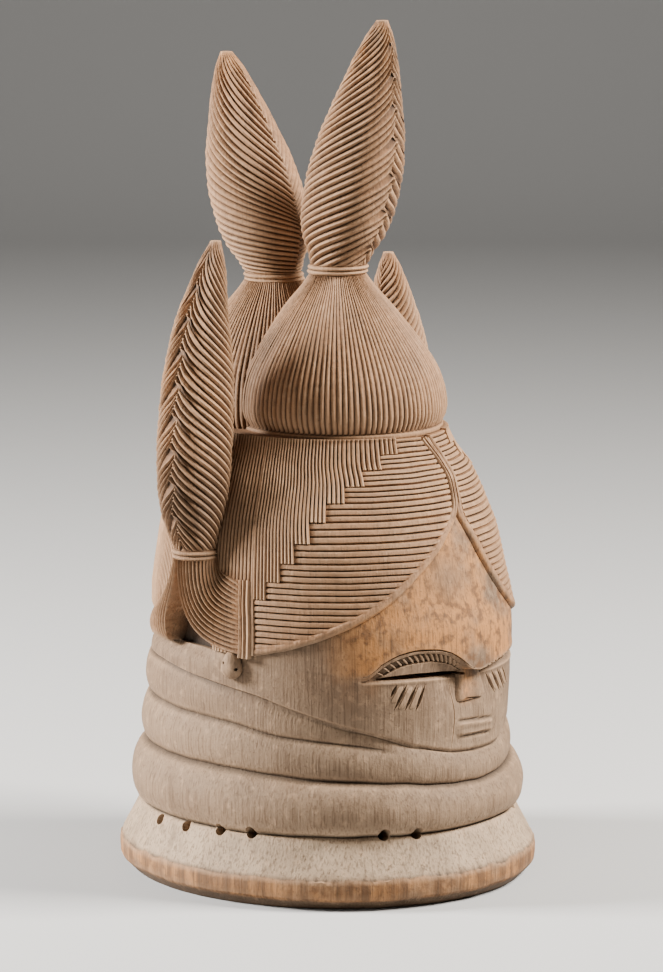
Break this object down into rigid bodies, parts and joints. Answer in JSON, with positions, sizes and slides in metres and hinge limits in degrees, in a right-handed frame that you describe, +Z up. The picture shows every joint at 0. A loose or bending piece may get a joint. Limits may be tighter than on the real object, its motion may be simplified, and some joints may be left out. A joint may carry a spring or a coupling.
{
  "type": "carved helmet mask",
  "caption": "Bell-shaped hollow wooden helmet mask with neck rolls, a small face low under a high forehead, a stepped and parted hairdress, ribbed domes and upright plaits.",
  "frame": {"origin": "middle of the rim's underside", "axes": "+Z up, the face looks along -Y, the wearer's right is -X"},
  "size_m": [0.243, 0.252, 0.5],
  "materials": {
    "wood": "dry, dusty, worn"
  },
  "bodies": {
    "root": {"mask": "wood"}
  },
  "joints": []
}
